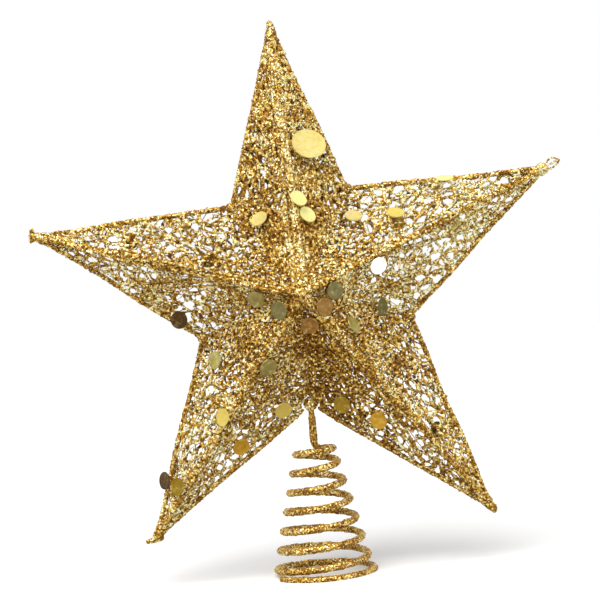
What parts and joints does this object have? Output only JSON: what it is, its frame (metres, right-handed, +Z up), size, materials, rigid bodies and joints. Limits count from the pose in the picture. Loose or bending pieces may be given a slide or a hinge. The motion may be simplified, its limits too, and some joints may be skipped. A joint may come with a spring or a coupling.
{
  "type": "christmas tree topper star",
  "caption": "Hollow five-point star of gold glittered wire and net with scattered sequins, carried on a conical wire spring that slips over the top shoot of a tree.",
  "frame": {"origin": "centre of the spring's foot, in the plane that it stands on", "axes": "+Z up along the spring's axis to the top point, -Y out of the front of the star, +X to the right seen from the front"},
  "size_m": [0.2167, 0.0536, 0.2235],
  "materials": {
    "glitter_wire": "coarse gold glitter over steel wire",
    "spring_wire": "coarse gold glitter over spring wire",
    "glitter_binding": "glue set with gold glitter",
    "glitter_net": "stiff cord net coated with gold glitter",
    "sequin_foil": "mirror gold foil"
  },
  "bodies": {
    "spring": {"conical_spring": "spring_wire"},
    "stem": {"stem": "spring_wire"},
    "ball": {"stem_ball": "glitter_wire"},
    "star": {"back_hub": "glitter_wire", "back_left_lower_net": "glitter_net", "back_left_ridge": "glitter_wire", "back_left_upper_net": "glitter_net", "back_lower_left_inner_net": "glitter_net", "back_lower_left_outer_net": "glitter_net", "back_lower_left_ridge": "glitter_wire", "back_lower_right_inner_net": "glitter_net", "back_lower_right_outer_net": "glitter_net", "back_lower_right_ridge": "glitter_wire", "back_right_lower_net": "glitter_net", "back_right_ridge": "glitter_wire", "back_right_upper_net": "glitter_net", "back_sequins": "sequin_foil", "back_top_left_net": "glitter_net", "back_top_ridge": "glitter_wire", "back_top_right_net": "glitter_net", "back_valley_spokes": "glitter_wire", "front_hub": "glitter_wire", "front_left_lower_net": "glitter_net", "front_left_ridge": "glitter_wire", "front_left_upper_net": "glitter_net", "front_lower_left_inner_net": "glitter_net", "front_lower_left_outer_net": "glitter_net", "front_lower_left_ridge": "glitter_wire", "front_lower_right_inner_net": "glitter_net", "front_lower_right_outer_net": "glitter_net", "front_lower_right_ridge": "glitter_wire", "front_right_lower_net": "glitter_net", "front_right_ridge": "glitter_wire", "front_right_upper_net": "glitter_net", "front_sequins": "sequin_foil", "front_top_left_net": "glitter_net", "front_top_ridge": "glitter_wire", "front_top_right_net": "glitter_net", "front_valley_spokes": "glitter_wire", "large_sequin": "sequin_foil", "left_point_lower_edge": "glitter_wire", "left_point_upper_edge": "glitter_wire", "left_tip_cap": "glitter_binding", "lower_left_point_inner_edge": "glitter_wire", "lower_left_point_outer_edge": "glitter_wire", "lower_left_tip_cap": "glitter_binding", "lower_right_point_inner_edge": "glitter_wire", "lower_right_point_outer_edge": "glitter_wire", "lower_right_tip_cap": "glitter_binding", "right_point_lower_edge": "glitter_wire", "right_point_upper_edge": "glitter_wire", "right_tip_cap": "glitter_binding", "top_point_left_edge": "glitter_wire", "top_point_right_edge": "glitter_wire", "top_tip_cap": "glitter_binding", "valley_welds": "glitter_wire"}
  },
  "joints": [
    {"name": "spring_squeeze", "type": "slide", "parent": "spring", "child": "stem", "axis": [0, 0, 1], "range_m": [-0.01, 0.012], "stiffness_N_per_m": 800, "springref_m": 0.0012, "deforming": ["conical_spring"]},
    {"name": "star_sway", "type": "hinge", "parent": "stem", "child": "ball", "pos_m": [0, 0, 0.06831], "axis": [0, 1, 0], "range_deg": [-12, 12], "stiffness_Nm_per_rad": 0.25},
    {"name": "star_nod", "type": "hinge", "parent": "ball", "child": "star", "pos_m": [0, 0, 0.06831], "axis": [1, 0, 0], "range_deg": [-12, 12], "stiffness_Nm_per_rad": 0.25}
  ]
}
